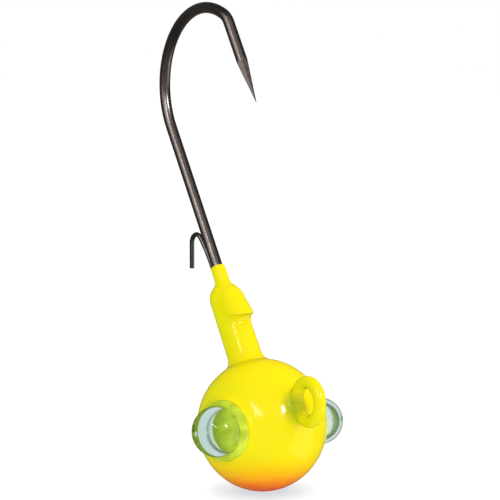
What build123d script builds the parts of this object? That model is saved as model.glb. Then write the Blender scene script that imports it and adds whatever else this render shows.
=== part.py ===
from build123d import *
from math import atan2, cos, degrees, radians, sin, sqrt
import os

# Round-ball jig head with a glass rattle vial cast-in crosswise. Millimetres.
# +Z runs along the hook's shank, from the head to the bend. +X is the side of the line eye
# and of the hook point. Y is the line through the vial.
# Everything is built round the centre of the head, then moved so that the centre of the
# line eye, which the jig hangs from, is the origin.

# ---- driving dimensions ----
head_radius = 7.05                     # over the paint, in the hook's plane
head_half_width = 6.8                  # the ball is a little narrower along the vial
paint = 0.09                           # one baked powder coat, which lines the vial's hole too
nose_coat = 0.04                       # second colour, sprayed on the nose
nose_level = -0.68 * head_radius       # the second colour covers what lies below this
nose_turn = 25                         # degrees that it is turned from the nose away from the line eye
wire_radius = 0.6                      # hook wire, 1.2 mm
shank_x = 1.3                          # the shank's line, off the head's centre

# hook: straight shank, one long round bend, a short toe arc and a straight point
bend_start = 35.6
bend_radius = 8.55
bend_sweep = 145
toe_radius = 2.3
point_tip_z = 29.4
point_grind = 5.2                      # length of the flats that are ground down to the tip
point_flats = 6
first_flat = -6                        # degrees from +X to the middle of a flat
tip_radius = 0.03

# line eye, closed round at the end of a stalk that leaves the shank at an angle
eye_x = 9.15
eye_z = -1.61
eye_ring_radius = 2.05                 # centre of the wire
eye_turn = 50                          # how far the stalk turns from the shank's line
eye_bend_radius = 2.2
eye_coat = 0.07
eye_hole_radius = 1.42                 # paint cleared out to a short straight land

# neck, the bait collar above it and its thorn
neck_x = 0.94
neck_root_radius = 1.88                # inside the head, tapering a little to the domed top
neck_top_radius = 1.77
neck_root_z = 5.2
neck_top_z = 16.3
neck_root_fillet = 1.2
collar_radius = 0.81
collar_top = 18.2
thorn_start = (1.69, 14.15)            # x and z of the thorn's rounded upper end
thorn_end = (2.32, 10.9)
thorn_start_radius = 1.5
thorn_end_radius = 1.7
thorn_heel = (2.8, 11.65)              # the undercut face runs from the neck to the tip
thorn_undercut = 20                    # degrees that the tip hangs lower than the heel

# bait keeper, a thin wire beside the shank that doubles back on itself
keeper_radius = 0.26
keeper_gap = 0.03
keeper_root = 8.6
keeper_spread_start = 18.4             # from here the wire curves away from the shank
keeper_spread = 0.42
keeper_rise = 22.42
keeper_bend_radius = 1.02
keeper_turn = 148
keeper_leg = 2.75

# glass vial and what it holds
vial_x = 1.69
vial_z = -0.89
vial_radius = 2.7
vial_wall = 0.6
vial_near = 6.85                       # centre of the round end on -Y
near_inside = 5.9                      # centre of the hollow's round end, behind a thick bottom
vial_far = 6.12                        # centre of the smaller sealed end on +Y
far_radius = 2.49
far_wall = 0.8
shoulder_start = 4.6                   # where the tube is drawn in towards its sealed end
shoulder_length = 1.0
glue = 0.08
mouth_depth = 0.7                      # each mouth is opened out, and filled with a ring of glue
near_mouth_radius = 3.15
far_mouth_radius = 2.85
near_glue_proud = 0.5
far_glue_proud = 0.05
boss_radius = 3.45                     # low raised boss round the near mouth
boss_proud = 0.35
ball_radius = 1.5875                   # eighth-inch steel ball
ball_pitch = 3.2
ball_drop = 0.42                       # the balls lie on the lower wall of the vial
ball_middle = 0.6                      # they rest towards the sealed end
ball_count = 3

# ---- derived ----
bore_radius = vial_radius + glue
toe_x = shank_x + bend_radius - (bend_radius - toe_radius) * cos(radians(bend_sweep))
point_x = toe_x + toe_radius           # toe_x is the centre of the toe's arc
point_root_z = point_tip_z + point_grind + wire_radius
keeper_x = shank_x - wire_radius - keeper_radius - keeper_gap
overshoot = 1.0                        # how far cutting tools run past what they cut
reach = head_half_width + overshoot    # from the middle of the head to clear of it along Y


def side_plane():
    """The hook's own plane, with x to the right and z upwards."""
    return Plane.XZ


def ball(x, y, z, radius):
    return Pos(x, y, z) * Sphere(radius)


def rod(x, low, high, radius):
    """A round rod parallel to Z, from low to high."""
    return Pos(x, 0, low) * Cylinder(radius, high - low, align=(Align.CENTER, Align.CENTER, Align.MIN))


def cross_rod(radius, low, high):
    """A round rod along the vial's line, from y = low to y = high."""
    start = Plane(origin=(vial_x, low, vial_z), z_dir=(0, 1, 0))
    return start * Cylinder(radius, high - low, align=(Align.CENTER, Align.CENTER, Align.MIN))


def wire_along(path, radius):
    """Round wire swept along a planar path."""
    section = Plane(origin=path @ 0, z_dir=path % 0) * Circle(radius)
    return sweep(section, path=path)


# ---- hook ----
def eye_stalk_corner_z():
    """Height at which the stalk's line, which runs to the eye's centre, leaves the shank's line."""
    return eye_z + (eye_x - shank_x) * cos(radians(eye_turn)) / sin(radians(eye_turn))


def hook_path():
    """Centre line from the eye's ring to where the point's grind starts."""
    turn = radians(eye_turn)
    stalk = (sin(turn), -cos(turn))
    corner_z = eye_stalk_corner_z()
    setback = eye_bend_radius * sin(turn / 2) / cos(turn / 2)
    ring_side = (eye_x - eye_ring_radius * stalk[0], eye_z - eye_ring_radius * stalk[1])
    stalk_top = (shank_x + setback * stalk[0], corner_z + setback * stalk[1])
    bend_middle = radians(bend_sweep / 2)
    bend_end = radians(bend_sweep)
    toe_middle = radians((bend_sweep + 180) / 2)
    bend_x = shank_x + bend_radius
    toe_z = bend_start + (bend_radius - toe_radius) * sin(bend_end)

    def on_bend(angle):
        return bend_x - bend_radius * cos(angle), bend_start + bend_radius * sin(angle)

    def on_toe(angle):
        return toe_x - toe_radius * cos(angle), toe_z + toe_radius * sin(angle)

    elbow_centre = (shank_x + eye_bend_radius, corner_z + setback)
    elbow_middle = (
        elbow_centre[0] - eye_bend_radius * cos(turn / 2),
        elbow_centre[1] - eye_bend_radius * sin(turn / 2),
    )
    with BuildLine(side_plane()) as line:
        Line(ring_side, stalk_top)
        ThreePointArc(stalk_top, elbow_middle, (shank_x, corner_z + setback))
        Line((shank_x, corner_z + setback), (shank_x, bend_start))
        ThreePointArc((shank_x, bend_start), on_bend(bend_middle), on_bend(bend_end))
        ThreePointArc(on_bend(bend_end), on_toe(toe_middle), (point_x, toe_z))
        Line((point_x, toe_z), (point_x, point_root_z))
    return line.wire()


def ground_point():
    """The end of the wire, with flats ground all round it down to a fine tip."""
    point = rod(point_x, point_tip_z, point_root_z, wire_radius)
    slope = degrees(atan2(wire_radius - tip_radius, point_grind))
    size = 3 * point_grind             # enough to clear the wire on every side
    waste = Pos(tip_radius, 0, 0) * Rot(0, slope, 0) * Box(
        size, size, size, align=(Align.MIN, Align.CENTER, Align.CENTER)
    )
    for index in range(point_flats):
        turn = first_flat + index * 360 / point_flats
        point -= Pos(point_x, 0, point_tip_z) * Rot(0, 0, turn) * waste
    return point


def eye_ring(radius):
    """The closed ring of the line eye, with its hole along Y."""
    return Plane(origin=(eye_x, 0, eye_z), z_dir=(0, 1, 0)) * Torus(eye_ring_radius, radius)


def painted_eye():
    """The coat's outside on the ring and its stalk, with the hole cleared to a short straight land."""
    coated = wire_radius + eye_coat
    run = Vector(eye_x - shank_x, 0, eye_z - eye_stalk_corner_z())
    start = Plane(origin=(shank_x, 0, eye_stalk_corner_z()), z_dir=run)
    stalk = start * Cylinder(
        coated, run.length - eye_ring_radius, align=(Align.CENTER, Align.CENTER, Align.MIN)
    )
    land = Plane(origin=(eye_x, 0, eye_z), z_dir=(0, 1, 0)) * Cylinder(eye_hole_radius, 4 * coated)
    return eye_ring(coated) + stalk - land


def make_hook():
    return wire_along(hook_path(), wire_radius) + ground_point() + eye_ring(wire_radius)


# ---- bait keeper ----
def make_keeper():
    turn = radians(keeper_turn)
    lean = 2 * atan2(keeper_spread, keeper_rise - keeper_spread_start)
    top_x = keeper_x - keeper_spread
    centre_x = top_x - keeper_bend_radius * cos(lean)
    centre_z = keeper_rise - keeper_bend_radius * sin(lean)

    def on_bend(angle):
        return centre_x + keeper_bend_radius * cos(angle), centre_z + keeper_bend_radius * sin(angle)

    leg_start = on_bend(turn)
    leg_end = (leg_start[0] - keeper_leg * sin(turn), leg_start[1] + keeper_leg * cos(turn))
    with BuildLine(side_plane()) as line:
        Line((keeper_x, keeper_root), (keeper_x, keeper_spread_start))
        TangentArc((keeper_x, keeper_spread_start), (top_x, keeper_rise), tangent=(0, 1))
        ThreePointArc((top_x, keeper_rise), on_bend((lean + turn) / 2), leg_start)
        Line(leg_start, leg_end)
    return wire_along(line.wire(), keeper_radius)


# ---- lead casting and its paint ----
def thorn(inset):
    """Round thorn on the +X side of the neck, cut off below by an undercut face."""
    run = Vector(thorn_end[0] - thorn_start[0], 0, thorn_end[1] - thorn_start[1])
    start = Plane(origin=(thorn_start[0], 0, thorn_start[1]), z_dir=run)
    body = start * Cone(
        thorn_start_radius - inset,
        thorn_end_radius - inset,
        run.length,
        align=(Align.CENTER, Align.CENTER, Align.MIN),
    )
    body += ball(thorn_start[0], 0, thorn_start[1], thorn_start_radius - inset)
    face = Plane(origin=(thorn_heel[0], 0, thorn_heel[1] + inset)).rotated((0, thorn_undercut, 0))
    size = head_radius                 # enough to clear the thorn on every side
    return body - face * Box(size, size, size, align=(Align.CENTER, Align.CENTER, Align.MAX))


def head_ball(growth):
    """The head's slightly flattened ball, grown or shrunk all over."""
    section = Ellipse(head_radius + growth, head_half_width + growth)
    half = section & Rectangle(2 * head_radius, 4 * head_radius, align=(Align.MIN, Align.CENTER))
    return revolve(half, axis=Axis.Y)


def neck(inset):
    """Tapered neck with a domed top, standing in the head."""
    dome_z = neck_top_z - neck_top_radius
    start = Pos(neck_x, 0, neck_root_z)
    stem = start * Cone(
        neck_root_radius - inset,
        neck_top_radius - inset,
        dome_z - neck_root_z,
        align=(Align.CENTER, Align.CENTER, Align.MIN),
    )
    root = rod(neck_x, 0, neck_root_z, neck_root_radius - inset)
    return root + stem + ball(neck_x, 0, dome_z, neck_top_radius - inset)


def cast_shape(inset):
    """Outside of the casting with its paint, or of the bare lead when inset by the coat."""
    body = head_ball(-inset) + neck(inset)
    meeting_z = sqrt(head_radius**2 - neck_root_radius**2)
    root = body.edges().filter_by(lambda edge: abs(edge.center().Z - meeting_z) < neck_root_radius)
    root = root.filter_by(lambda edge: edge.length > 2 * neck_root_radius)
    body = fillet(root, neck_root_fillet + inset)
    collar = rod(shank_x, neck_root_z, collar_top - inset, collar_radius - inset)
    return body + thorn(inset) + collar + boss(inset)


def boss(inset):
    """Low boss round the vial's near mouth, which follows the head's curve."""
    return cross_rod(boss_radius - inset, -reach, 0) & head_ball(boss_proud - inset)


def near_mouth(proud, lining=0):
    """The opened-out end of the bore on -Y, up to a level above the head."""
    skin = head_ball(proud) - head_ball(-mouth_depth - lining)
    return cross_rod(near_mouth_radius + lining, -reach, 0) & skin


def far_mouth(proud, lining=0):
    """The same on +Y, where the vial is smaller."""
    skin = head_ball(proud) - head_ball(-mouth_depth - lining)
    return cross_rod(far_mouth_radius + lining, 0, reach) & skin


def bore(lining):
    """The cross hole that the vial is glued into, with its wider mouths, before it is lined."""
    tube = cross_rod(bore_radius + lining, -reach, reach)
    return tube + near_mouth(overshoot, lining) + far_mouth(overshoot, lining)


def bare_casting():
    """The lead, before the wires that it is cast round are taken out of it."""
    return cast_shape(paint) - bore(paint)


def make_casting(hook, keeper):
    return bare_casting() - hook - keeper


def nose_cap():
    """The outer part of the coat where the second colour is, a little to one side of the nose."""
    shell = head_ball(0) - head_ball(-nose_coat)
    low = Pos(0, 0, nose_level) * Box(
        2 * head_radius, 2 * head_radius, head_radius, align=(Align.CENTER, Align.CENTER, Align.MAX)
    )
    return shell & Rot(0, nose_turn, 0) * low


def make_base_coat(hook, keeper, cap):
    """One skin over the casting, the collar and the line eye, and in the vial's hole."""
    outside = cast_shape(0) + painted_eye()
    return outside - bore(0) - bare_casting() - hook - keeper - cap


# ---- vial ----
def vial_profile(near_end, radius, shoulder, end_radius):
    """Half section of a tube with a round end on -Y and a drawn-in, sealed end on +Y."""
    frame = Plane(origin=(vial_x, 0, vial_z), x_dir=(0, 1, 0), z_dir=(1, 0, 0))
    near_tip = (-near_end - radius, 0)
    far_tip = (vial_far + end_radius, 0)
    diagonal = sqrt(0.5)               # both round ends pass through their 45 degree points
    near_middle = (-near_end - radius * diagonal, radius * diagonal)
    far_middle = (vial_far + end_radius * diagonal, end_radius * diagonal)
    with BuildSketch(frame) as profile:
        with BuildLine():
            Line(far_tip, near_tip)
            ThreePointArc(near_tip, near_middle, (-near_end, radius))
            Line((-near_end, radius), (shoulder, radius))
            Spline(
                (shoulder, radius),
                (shoulder + shoulder_length, end_radius),
                tangents=((1, 0), (1, 0)),
            )
            Line((shoulder + shoulder_length, end_radius), (vial_far, end_radius))
            ThreePointArc((vial_far, end_radius), far_middle, far_tip)
        make_face()
    return profile.sketch


def vial_axis():
    return Axis((vial_x, 0, vial_z), (0, 1, 0))


def vial_outside():
    return revolve(vial_profile(vial_near, vial_radius, shoulder_start, far_radius), axis=vial_axis())


def vial_cavity():
    shoulder = shoulder_start - vial_wall / 2
    profile = vial_profile(near_inside, vial_radius - vial_wall, shoulder, far_radius - far_wall)
    return revolve(profile, axis=vial_axis())


def make_vial():
    return vial_outside() - vial_cavity()


def make_glue():
    """Clear adhesive between the vial and its hole, with a small bead at each mouth."""
    sleeve = cross_rod(bore_radius, -reach, reach) & head_ball(0)
    return sleeve + near_mouth(near_glue_proud) + far_mouth(far_glue_proud) - vial_outside()


def make_balls():
    """Loose steel balls in a row along the vial."""
    first = ball_middle - ball_pitch * (ball_count - 1) / 2
    centres = [first + index * ball_pitch for index in range(ball_count)]
    return {
        f"rattle_ball_{index + 1}": ball(vial_x, y, vial_z - ball_drop, ball_radius)
        for index, y in enumerate(centres)
    }


def make_parts():
    hook = make_hook()
    keeper = make_keeper()
    cap = nose_cap()
    parts = {
        "lead_casting": make_casting(hook, keeper),
        "base_coat": make_base_coat(hook, keeper, cap),
        "nose_coat": cap,
        "hook": hook,
        "bait_keeper": keeper,
        "glass_vial": make_vial(),
        "vial_adhesive": make_glue(),
    }
    parts.update(make_balls())
    return parts


os.makedirs("parts", exist_ok=True)
for name, shape in make_parts().items():
    export_step(Pos(-eye_x, 0, -eye_z) * shape, f"parts/{name}.step")
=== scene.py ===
from math import cos, pi, radians, sin, sqrt

import bmesh
import bpy
import numpy as np
from mathutils import Matrix, Vector
from mathutils.bvhtree import BVHTree

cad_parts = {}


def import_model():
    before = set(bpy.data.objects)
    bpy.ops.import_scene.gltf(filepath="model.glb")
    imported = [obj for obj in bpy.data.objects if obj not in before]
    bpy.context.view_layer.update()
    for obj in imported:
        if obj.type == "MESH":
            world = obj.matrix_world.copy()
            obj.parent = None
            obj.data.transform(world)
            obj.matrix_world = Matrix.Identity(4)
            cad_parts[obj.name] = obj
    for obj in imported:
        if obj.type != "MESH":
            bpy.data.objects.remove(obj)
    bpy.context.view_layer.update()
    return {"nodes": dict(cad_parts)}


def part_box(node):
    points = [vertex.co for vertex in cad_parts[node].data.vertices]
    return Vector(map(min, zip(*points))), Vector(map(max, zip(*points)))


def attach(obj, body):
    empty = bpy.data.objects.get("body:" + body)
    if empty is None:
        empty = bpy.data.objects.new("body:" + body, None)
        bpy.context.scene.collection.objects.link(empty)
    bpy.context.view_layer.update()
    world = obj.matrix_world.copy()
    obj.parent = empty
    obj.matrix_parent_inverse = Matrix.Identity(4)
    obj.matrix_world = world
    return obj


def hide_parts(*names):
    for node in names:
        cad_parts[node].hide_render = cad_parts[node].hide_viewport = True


# Looks for the jig head: a glossy fluorescent paint with an orange nose, black nickel wire,
# a greenish glass vial in clear glue, and steel balls. Metres, in the frame of the CAD model:
# +Z is up the shank, +X is towards the line eye, and the vial lies along Y.

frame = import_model()
nodes = frame["nodes"]
scene = bpy.context.scene
mm = 0.001


# ---- small helpers ----
def middle(node):
    """The middle of a node's box at rest."""
    low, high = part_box(node)
    return (low + high) / 2


def collection(name, *objects):
    """A collection of things that a light is kept to."""
    made = bpy.data.collections.new(name)
    for thing in objects:
        made.objects.link(thing)
    return made


def fill_ramp(ramp, stops):
    """Gives a colour ramp node its (position, colour) stops, which are two or more."""
    elements = ramp.color_ramp.elements
    while len(elements) < len(stops):
        elements.new(0.5)
    for element, (position, colour) in zip(elements, stops):
        element.position = position
        element.color = (*colour, 1)


class Shader:
    """A material and short ways to add the nodes that it is made of."""

    def __init__(self, name):
        self.material = bpy.data.materials.new(name)
        self.material.use_nodes = True
        self.nodes = self.material.node_tree.nodes
        self.links = self.material.node_tree.links
        self.bsdf = self.nodes["Principled BSDF"]
        self.output = self.nodes["Material Output"]

    def add(self, kind, **values):
        """A node; a value that is a socket is linked, and any other is set."""
        node = self.nodes.new(kind)
        for key, value in values.items():
            if hasattr(node, key):
                setattr(node, key, value)
            else:
                self.put(node, key.replace("_", " "), value)
        return node

    def put(self, node, socket, value):
        """Links a node's input to a socket, or gives it a plain value."""
        target = node.inputs[socket]
        if isinstance(value, bpy.types.NodeSocket):
            self.links.new(value, target)
        else:
            target.default_value = value

    def set(self, **values):
        """Sets or links the Principled shader's own sockets."""
        for key, value in values.items():
            self.put(self.bsdf, key.replace("_", " "), value)

    def place(self, scale=(1, 1, 1)):
        """Where the surface is, in millimetres in the shared frame, stretched by a scale."""
        coordinates = self.add("ShaderNodeTexCoord")
        mapping = self.add("ShaderNodeMapping", Vector=coordinates.outputs["Object"])
        mapping.inputs["Scale"].default_value = [1 / mm * value for value in scale]
        return mapping.outputs[0]

    def noise(self, size, detail=2.0, scale=(1, 1, 1)):
        """Noise whose lumps are about size millimetres across, from 0 to 1."""
        node = self.add("ShaderNodeTexNoise", Vector=self.place(scale), Scale=1 / size, Detail=detail)
        return node.outputs["Fac"]

    def span(self, value, low, high, start=0.0, end=1.0):
        """Maps low..high of a value to start..end, and holds it there."""
        node = self.add("ShaderNodeMapRange", Value=value)
        self.put(node, "From Min", low)
        self.put(node, "From Max", high)
        self.put(node, "To Min", start)
        self.put(node, "To Max", end)
        return node.outputs[0]

    def math(self, operation, first, second):
        """The result of a sum such as ADD on two values or sockets."""
        node = self.nodes.new("ShaderNodeMath")
        node.operation = operation
        self.put(node, 0, first)
        self.put(node, 1, second)
        return node.outputs[0]

    def ramp(self, value, *stops):
        """A colour ramp through (position, colour) stops."""
        node = self.add("ShaderNodeValToRGB", Fac=value)
        fill_ramp(node, stops)
        return node.outputs[0]

    def mix(self, share, first, second):
        """The first colour where the share is 0, and the second where it is 1."""
        node = self.nodes.new("ShaderNodeMix")
        node.data_type = "RGBA"
        for socket, value in ((0, share), (6, first), (7, second)):
            self.put(node, socket, (*value, 1) if isinstance(value, tuple) else value)
        return node.outputs[2]

    def bump(self, height, depth, **more):
        """A bump of a depth in millimetres."""
        node = self.add("ShaderNodeBump", Height=height, Distance=depth * mm, **more)
        return node.outputs[0]


# ---- sizes of the CAD model that the looks need ----
head_radius = 7.05 * mm                # over the paint
head_half_width = 6.8 * mm             # along the vial
head_centre = Vector((middle("lead_casting").x, 0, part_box("nose_coat")[0].z + head_radius))
thorn_tip = (-5.4, 12.9)               # x and z in mm, just short of the tip itself
thorn_margin = 0.9                     # mm inward from the tip, over which the filling comes in
thorn_reach = 2.2                      # mm above and below the tip, beyond which there is none
neck_axis = -8.2                       # x in mm
stalk_foot = (-2.2, 0.0, 0.4)          # mm, where the line eye's stalk leaves the head, the middle of the paint's painted shade there
glow_dimmest_at = 6.6                       # mm from the head's middle, where the glue's painted glow is dimmest
glow_brightest_at = 5.2                        # mm from the head's middle, where its painted glow is brightest

# ---- the paint's outside, as one soft skin ----
touching = 0.05 * mm                   # surfaces this close to each other are in contact
probe_lift = 0.02 * mm                 # how far above a face its probe is
voxel = 0.09                           # mm, size of the skin's faces
stride = 0.7                           # share of the way to its neighbours that a point takes


def tree_of(node):
    """A tree of a part's faces, to search for the nearest."""
    mesh = nodes[node].data
    return BVHTree.FromPolygons(
        [vertex.co for vertex in mesh.vertices], [face.vertices for face in mesh.polygons]
    )


def inside(point, tree):
    """True if a point lies just under the surface of a part."""
    place, normal, _, _ = tree.find_nearest(point, touching)
    return place is not None and (point - place).dot(normal) < 0


def outside_faces(coat, others):
    """Faces of a coat that nothing else covers, as a bmesh."""
    trees = [tree_of(name) for name in others]
    made = bmesh.new()
    made.from_mesh(nodes[coat].data)
    covered = []
    for face in made.faces:
        probe = face.calc_center_median() + face.normal * probe_lift
        if any(inside(probe, tree) for tree in trees):
            covered.append(face)
    bmesh.ops.delete(made, geom=covered, context="FACES")
    return made


def read_mesh(mesh):
    """The places of a mesh's vertices, and the two vertices that each of its edges joins."""
    place = np.zeros(len(mesh.vertices) * 3)
    mesh.vertices.foreach_get("co", place)
    ends = np.zeros(len(mesh.edges) * 2, int)
    mesh.edges.foreach_get("vertices", ends)
    return place.reshape(-1, 3), ends.reshape(-1, 2)


def write_mesh(mesh, place):
    """Moves a mesh's vertices to new places."""
    mesh.vertices.foreach_set("co", place.ravel())
    mesh.update()


def to_neighbours(place, ends):
    """The step from each vertex to the middle of the ones that it shares an edge with."""
    count = len(place)
    first, second = ends.T
    total = np.stack(
        [
            np.bincount(first, place[second, axis], count)
            + np.bincount(second, place[first, axis], count)
            for axis in range(3)
        ],
        axis=1,
    )
    degree = np.maximum(np.bincount(ends.ravel(), minlength=count), 1)[:, None]
    return total / degree - place


def soften(mesh, rounds=110, inward=0.06):
    """Fills hollow corners as wet paint does, and rounds the sharp ones only a little."""
    place, ends = read_mesh(mesh)
    normal = np.zeros(place.size)
    for _ in range(rounds):
        mesh.vertices.foreach_get("normal", normal)
        step = to_neighbours(place, ends)
        outward = (step * normal.reshape(-1, 3)).sum(1, keepdims=True)
        place += step * np.where(outward > 0, stride, inward)
        write_mesh(mesh, place)


def blend_thorn(mesh, rounds=600):
    """Fills the hollow under the thorn with paint and lead, everywhere but at its tip. In mm."""
    place, ends = read_mesh(mesh)
    from_tip = np.clip((thorn_tip[0] - place[:, 0]) / thorn_margin, 0, 1)
    from_edge = np.clip(1.0 - abs(place[:, 2] - thorn_tip[1]) / thorn_reach, 0, 1)
    share = np.minimum(from_tip, 2 * from_edge).clip(0, 1)[:, None]
    from_axis = place * (1, 1, 0) - (neck_axis, 0, 0)
    ends = ends[(share[ends, 0] > 0).any(axis=1)]
    for _ in range(rounds):
        step = to_neighbours(place, ends)
        outward = (step * from_axis).sum(1, keepdims=True)
        place += step * share * np.where(outward > 0, stride, 0)
    write_mesh(mesh, place)


def joined_outsides():
    """The outsides of both coats, closed up into one bmesh, in mm."""
    joined = bmesh.new()
    for coat, others in (
        ("base_coat", ("lead_casting", "nose_coat", "hook", "bait_keeper")),
        ("nose_coat", ("lead_casting", "base_coat")),
    ):
        part = outside_faces(coat, others)
        mesh = bpy.data.meshes.new(coat + "_outside")
        part.to_mesh(mesh)
        part.free()
        joined.from_mesh(mesh)
        bpy.data.meshes.remove(mesh)
    bmesh.ops.remove_doubles(joined, verts=joined.verts, dist=0.002 * mm)
    bmesh.ops.holes_fill(joined, edges=[edge for edge in joined.edges if edge.is_boundary])
    bmesh.ops.scale(joined, vec=(1 / mm,) * 3, verts=joined.verts)
    return joined


def remeshed(work):
    """The shape of a bmesh, rebuilt as a mesh of even faces a voxel across."""
    mesh = bpy.data.meshes.new("paint_start")
    work.to_mesh(mesh)
    work.free()
    start = bpy.data.objects.new("paint_start", mesh)
    scene.collection.objects.link(start)
    remesh = start.modifiers.new("remesh", "REMESH")
    remesh.mode = "VOXEL"
    remesh.voxel_size = voxel
    bpy.context.view_layer.update()
    evaluated = start.evaluated_get(bpy.context.evaluated_depsgraph_get())
    made = bpy.data.meshes.new_from_object(evaluated)
    bpy.data.objects.remove(start)
    return made


def paint_skin():
    """Both coats as one closed piece, with the soft corners of a thick baked paint."""
    mesh = remeshed(joined_outsides())
    soften(mesh)
    blend_thorn(mesh)
    mesh.transform(Matrix.Scale(mm, 4))
    mesh.shade_smooth()
    made = bpy.data.objects.new("paint_skin", mesh)
    scene.collection.objects.link(made)
    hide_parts("base_coat", "nose_coat")
    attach(made, "root")
    return made


def seamless(node, body):
    """A part's own shape without the slivers that its poles leave, in the place of the part."""
    mesh = nodes[node].data.copy()
    work = bmesh.new()
    work.from_mesh(mesh)
    bmesh.ops.remove_doubles(work, verts=work.verts, dist=0.001 * mm)
    slivers = [face for face in work.faces if face.calc_area() < 1e-6 * mm**2]
    bmesh.ops.delete(work, geom=slivers, context="FACES_ONLY")
    work.to_mesh(mesh)
    work.free()
    mesh.shade_smooth()
    made = bpy.data.objects.new(node + "_whole", mesh)
    made.matrix_world = nodes[node].matrix_world
    scene.collection.objects.link(made)
    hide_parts(node)
    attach(made, body)
    return made


skin = paint_skin()
skin.visible_glossy = False            # the photographed wire doesn't mirror the yellow head
vial = seamless("glass_vial", "root")
balls = [seamless(f"rattle_ball_{index}", f"ball_{index}") for index in (1, 2, 3)]


# ---- materials ----
def paint():
    """Fluorescent yellow powder coat that fades to orange and red at the nose, darker olive round the
    stalk: painted contact shade, and in part thicker paint.
    """
    shader = Shader("fluorescent_paint")
    place = shader.add("ShaderNodeTexCoord").outputs["Object"]
    towards_nose = Vector((-0.42, -0.07, -0.905)).normalized()
    along = shader.add("ShaderNodeVectorMath", operation="DOT_PRODUCT")
    shader.put(along, 0, place)
    shader.put(along, 1, towards_nose)
    start = head_centre.dot(towards_nose)
    depth = shader.span(along.outputs["Value"], start, start + head_radius)
    drift = shader.span(shader.noise(2.5, 3), 0.3, 0.7, -0.015, 0.015)
    depth = shader.math("ADD", depth, drift)
    colour = shader.ramp(
        depth,
        (0.45, (0.87, 0.80, 0.002)),
        (0.60, (0.95, 0.68, 0.002)),
        (0.76, (1.0, 0.46, 0.006)),
        (0.87, (1.0, 0.23, 0.010)),
        (1.0, (0.95, 0.05, 0.015)),
    )
    thin = shader.span(shader.noise(1.6, 4), 0.35, 0.7, 0.0, 0.25)
    colour = shader.mix(thin, colour, shader.mix(0.5, colour, (0.70, 0.80, 0.006)))
    # painted shade: darker olive round the stalk's root, standing for its contact shadow and in part for
    # the thicker paint there
    from_stalk = shader.add("ShaderNodeVectorMath", operation="DISTANCE")
    shader.put(from_stalk, 0, shader.place())
    shader.put(from_stalk, 1, stalk_foot)
    stalk_shade_and_pooling = shader.span(from_stalk.outputs["Value"], 2.0, 0.9, 0.0, 0.9)
    colour = shader.mix(stalk_shade_and_pooling, colour, (0.42, 0.50, 0.005))
    lumps = shader.bump(shader.noise(1.1, 2), 0.03)
    peel = shader.bump(shader.noise(0.22, 2), 0.002, Normal=lumps)
    roughness = shader.span(shader.noise(0.9, 5), 0.3, 0.7, 0.10, 0.20)
    shader.set(Base_Color=colour, Roughness=roughness, Normal=peel, IOR=1.5)
    return shader.material


def black_nickel(name, colour):
    """Plated wire with fine marks drawn along it, and worn a little paler in places."""
    shader = Shader(name)
    marks = shader.noise(0.05, 3, (1, 1, 0.08))
    wear = shader.span(shader.noise(0.8, 5), 0.5, 0.8)
    paler = tuple(value * 1.3 for value in colour)
    base = shader.mix(wear, colour, paler)
    roughness = shader.span(marks, 0.3, 0.7, 0.18, 0.34)
    shader.set(Base_Color=base, Metallic=1.0, Roughness=roughness, Normal=shader.bump(marks, 0.004))
    return shader.material


def glass():
    """Green-tinted glass with slow waves in it and a few fine scratches."""
    shader = Shader("vial_glass")
    waves = shader.bump(shader.noise(1.2, 2), 0.006)
    scratches = shader.span(shader.noise(0.12, 6, (1, 0.15, 1)), 0.62, 0.72)
    roughness = shader.span(scratches, 0, 1, 0.0, 0.05)
    tint = shader.mix(shader.noise(2.0, 2), (0.95, 0.99, 0.97), (0.98, 1.0, 0.98))
    shader.set(Base_Color=tint, Roughness=roughness, Normal=waves, Transmission_Weight=1.0, IOR=1.5)
    body = shader.add("ShaderNodeVolumeAbsorption", Color=(0.30, 0.55, 0.53, 1), Density=200.0)
    shader.put(shader.output, "Volume", body.outputs[0])
    return shader.material


def glue():
    """Clear adhesive with bubbles. It has a painted glow, dim at the bore's mouth and bright deeper in,
    that stands in for the lit paint seen through it.
    """
    shader = Shader("clear_glue")
    cloud = shader.span(shader.noise(1.3, 2, (1, 0.5, 1)), 0.35, 0.7)
    tint = shader.mix(cloud, (0.10, 0.14, 0.004), (0.24, 0.30, 0.008))
    place = shader.add("ShaderNodeSeparateXYZ", Vector=shader.place())
    # painted glow: light standing in for the lit paint behind the glue, dim at the mouth and bright
    # deeper in
    depth = shader.span(shader.math("ABSOLUTE", place.outputs["Y"], 0), glow_dimmest_at, glow_brightest_at)
    deep_glow_colour = shader.mix(cloud, (0.46, 0.56, 0.03), (0.66, 0.78, 0.08))
    painted_glow = shader.mix(depth, (0.32, 0.40, 0.03), deep_glow_colour)
    bubbles = shader.bump(shader.noise(0.25, 4), 0.01)
    shader.set(Base_Color=tint, Roughness=0.12, Normal=bubbles, IOR=1.48, Coat_Weight=0.5)
    shader.set(Emission_Color=painted_glow, Emission_Strength=1.0)
    return shader.material


def steel():
    """Polished ball-bearing steel with hairline scratches."""
    shader = Shader("ball_steel")
    smear = shader.noise(0.5, 4)
    base = shader.mix(smear, (0.50, 0.50, 0.50), (0.62, 0.62, 0.60))
    roughness = shader.span(smear, 0.3, 0.7, 0.08, 0.18)
    scratches = shader.bump(shader.noise(0.06, 5, (1, 0.2, 1)), 0.001)
    shader.set(Base_Color=base, Metallic=1.0, Roughness=roughness, Normal=scratches)
    return shader.material


def lead():
    """Dull cast lead, grainy, with darker oxide."""
    shader = Shader("cast_lead")
    oxide = shader.noise(0.9, 6)
    base = shader.mix(oxide, (0.16, 0.165, 0.18), (0.30, 0.31, 0.33))
    roughness = shader.span(oxide, 0.3, 0.7, 0.45, 0.7)
    shader.set(Base_Color=base, Metallic=1.0, Roughness=roughness, Normal=shader.bump(oxide, 0.03))
    return shader.material


def dress(thing, material):
    """Makes a material the only one of a piece."""
    thing.data.materials.clear()
    thing.data.materials.append(material)


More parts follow.
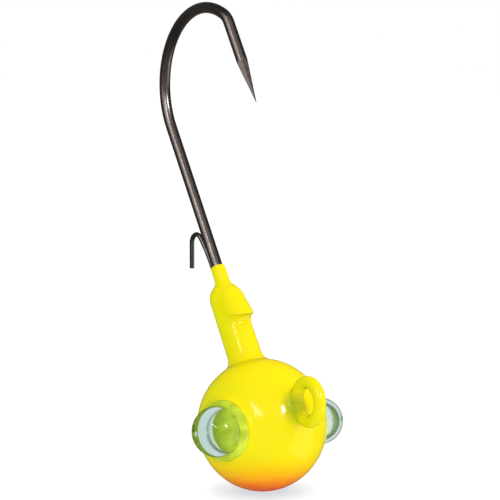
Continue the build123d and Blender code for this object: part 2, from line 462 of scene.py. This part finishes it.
dress(skin, paint())
dress(nodes["lead_casting"], lead())
dress(nodes["hook"], black_nickel("hook_black_nickel", (0.34, 0.31, 0.30)))
dress(nodes["bait_keeper"], black_nickel("keeper_wire", (0.30, 0.33, 0.31)))
dress(vial, glass())
dress(nodes["vial_adhesive"], glue())
ball_material = steel()
for ball in balls:
    dress(ball, ball_material)

# ---- camera, at the photograph's angle ----
azimuth = Matrix.Rotation(radians(53.74), 4, "Z")
elevation = Matrix.Rotation(pi / 2 + radians(21.154), 4, "X")
roll = Matrix.Rotation(radians(-18.5), 4, "Z")
turn = azimuth @ elevation @ roll
camera_place = (0.22805, -0.16820, -0.09165)
camera_data = bpy.data.cameras.new("camera")
camera_data.lens = 207.36
camera_data.sensor_width = 36
camera_data.clip_start = 0.01
camera_data.clip_end = 20
camera = bpy.data.objects.new("camera", camera_data)
camera.matrix_world = Matrix.Translation(camera_place) @ turn
scene.collection.objects.link(camera)
scene.camera = camera

# ---- studio ----
scene.view_settings.view_transform = "Standard"
view_axes = turn.to_3x3()
subject = collection("subject", *[thing for thing in scene.objects if thing.type == "MESH"])
wires = collection("wires", nodes["hook"], nodes["bait_keeper"])
lamp_distance = 0.3


def softbox(name, lit, direction, size, strength, colour=(1, 1, 1), along=(0, 1, 0)):
    """A lamp that only shows as a reflection in what it lights. One size makes it round, and two oblong.

    Directions are given as right, up and towards the camera. Along is that of an oblong's second side.
    """
    data = bpy.data.lights.new(name, "AREA")
    data.shape = "RECTANGLE" if len(size) == 2 else "DISK"
    data.size = size[0]
    area = size[0] ** 2 * pi / 4
    if len(size) == 2:
        data.size_y = size[1]
        area = size[0] * size[1]
    data.energy = strength * area * pi
    data.color = colour
    lamp = bpy.data.objects.new(name, data)
    back = (view_axes @ Vector(direction)).normalized()
    across = (view_axes @ Vector(along)).cross(back).normalized()
    axes = Matrix((across, back.cross(across), back)).transposed()
    lamp.matrix_world = Matrix.Translation(head_centre + back * lamp_distance) @ axes.to_4x4()
    lamp.visible_camera = False
    lamp.visible_transmission = False
    lamp.visible_diffuse = False
    scene.collection.objects.link(lamp)
    lamp.light_linking.receiver_collection = lit


shank = (-0.296, 0.884, -0.361)        # the way that the wires run, so that their bands do too
warm = (1, 0.88, 0.86)

# The round highlight beside the line eye, the streaks on the neck and head, and a sheen low on the right.
softbox("key", subject, (0.585, 0.455, 0.67), (0.058,), 26)
softbox("strip", subject, (-0.245, 0.477, 0.845), (0.02, 0.16), 10, along=(0.353, -0.28, 0.26))
softbox("fill", subject, (0.92, -0.33, 0.15), (0.26, 0.26), 0.5)

# The pale band on the left of the wires, a faint one at their front, and the fine line between them.
softbox("side", wires, (-0.78, 0.45, 0.43), (0.20, 0.26), 0.62, warm, shank)
softbox("front", wires, (0.2, 0.72, 0.66), (0.22, 0.30), 0.16, warm, shank)
softbox("line", wires, (-0.50, 0.52, 0.69), (0.03, 0.25), 3.5, (1, 0.94, 0.92), shank)


def floor(tilt=radians(8), half_side=0.5, shadow=4.5 * mm):
    """A plain pale floor that the head rests on, tilted towards the camera and seen from above only.

    It gives off its own light, less of it where the head is closer than the shadow's reach, so that
    it takes no colour from the paint.
    """
    up = (view_axes @ Vector((0, cos(tilt), sin(tilt)))).normalized()
    half_sizes = (head_radius, head_half_width, head_radius)
    reach = sqrt(sum((size * part) ** 2 for size, part in zip(half_sizes, up)))
    side = up.orthogonal().normalized() * half_side
    other = up.cross(side)
    contact = head_centre - up * reach
    corners = [contact + side * a + other * b for a, b in ((-1, -1), (1, -1), (1, 1), (-1, 1))]
    mesh = bpy.data.meshes.new("floor")
    mesh.from_pydata(corners, [], [(0, 1, 2, 3)])
    made = bpy.data.objects.new("floor", mesh)
    scene.collection.objects.link(made)
    shader = Shader("floor")
    under = shader.add("ShaderNodeAmbientOcclusion", samples=16, Distance=shadow)
    grain = shader.span(shader.noise(1.5, 3), 0.3, 0.7, 0.98, 1.0)
    open_share = shader.span(under.outputs["AO"], 0.15, 0.72)
    light = shader.mix(open_share, (0.66, 0.68, 0.73), (1.02, 1.02, 1.02))
    shader.set(Base_Color=(0.06, 0.06, 0.06, 1), Roughness=0.9, Specular_IOR_Level=0.0)
    shader.set(Emission_Color=light, Emission_Strength=grain)
    geometry = shader.add("ShaderNodeNewGeometry")
    clear = shader.add("ShaderNodeBsdfTransparent")
    choice = shader.add("ShaderNodeMixShader")
    shader.put(choice, 0, geometry.outputs["Backfacing"])
    shader.put(choice, 1, shader.bsdf.outputs[0])
    shader.put(choice, 2, clear.outputs[0])
    shader.put(shader.output, "Surface", choice.outputs[0])
    mesh.materials.append(shader.material)
    made.visible_glossy = False
    made.visible_transmission = False


floor()


def world():
    """White behind the object and soft light all round, but a dark studio in its reflections."""
    made = bpy.data.worlds.new("studio")
    made.use_nodes = True
    made.cycles.sampling_method = "NONE"
    nodes, links = made.node_tree.nodes, made.node_tree.links
    path = nodes.new("ShaderNodeLightPath")
    direction = nodes.new("ShaderNodeTexCoord").outputs["Generated"]

    def towards(view_direction, *stops):
        """A colour by how much a ray is turned towards a direction: 0 is away from it, 1 is along it."""
        dot = nodes.new("ShaderNodeVectorMath")
        dot.operation = "DOT_PRODUCT"
        links.new(direction, dot.inputs[0])
        dot.inputs[1].default_value = (view_axes @ Vector(view_direction)).normalized()
        share = nodes.new("ShaderNodeMapRange")
        share.inputs["From Min"].default_value = -1
        links.new(dot.outputs["Value"], share.inputs["Value"])
        ramp = nodes.new("ShaderNodeValToRGB")
        links.new(share.outputs[0], ramp.inputs[0])
        fill_ramp(ramp, stops)
        return ramp.outputs[0]

    reflected = towards(
        (0.1, 0.2, 0.97),
        (0.0, (0.10, 0.10, 0.09)),
        (0.45, (0.03, 0.025, 0.025)),
        (1.0, (0.17, 0.15, 0.14)),
    )
    matt = towards(
        (-0.85, -0.5, 0.0),
        (0.15, (1.75, 1.38, 0.85)),
        (0.55, (1.02, 1.0, 0.8)),
        (0.95, (0.22, 0.66, 0.4)),
    )
    through = towards(
        (-0.45, 0.0, -0.9),
        (0.4, (0.42, 0.56, 0.05)),
        (0.77, (0.14, 0.21, 0.11)),
        (0.9, (0.94, 1.0, 0.99)),
    )
    white = nodes.new("ShaderNodeRGB").outputs[0]
    white.default_value = (1, 1, 1, 1)
    colour = reflected
    for kind_of_ray, value in (
        ("Is Diffuse Ray", matt),
        ("Is Transmission Ray", through),
        ("Is Camera Ray", white),
    ):
        choice = nodes.new("ShaderNodeMix")
        choice.data_type = "RGBA"
        links.new(path.outputs[kind_of_ray], choice.inputs[0])
        links.new(colour, choice.inputs[6])
        links.new(value, choice.inputs[7])
        colour = choice.outputs[2]
    links.new(colour, nodes["Background"].inputs["Color"])
    return made


scene.world = world()
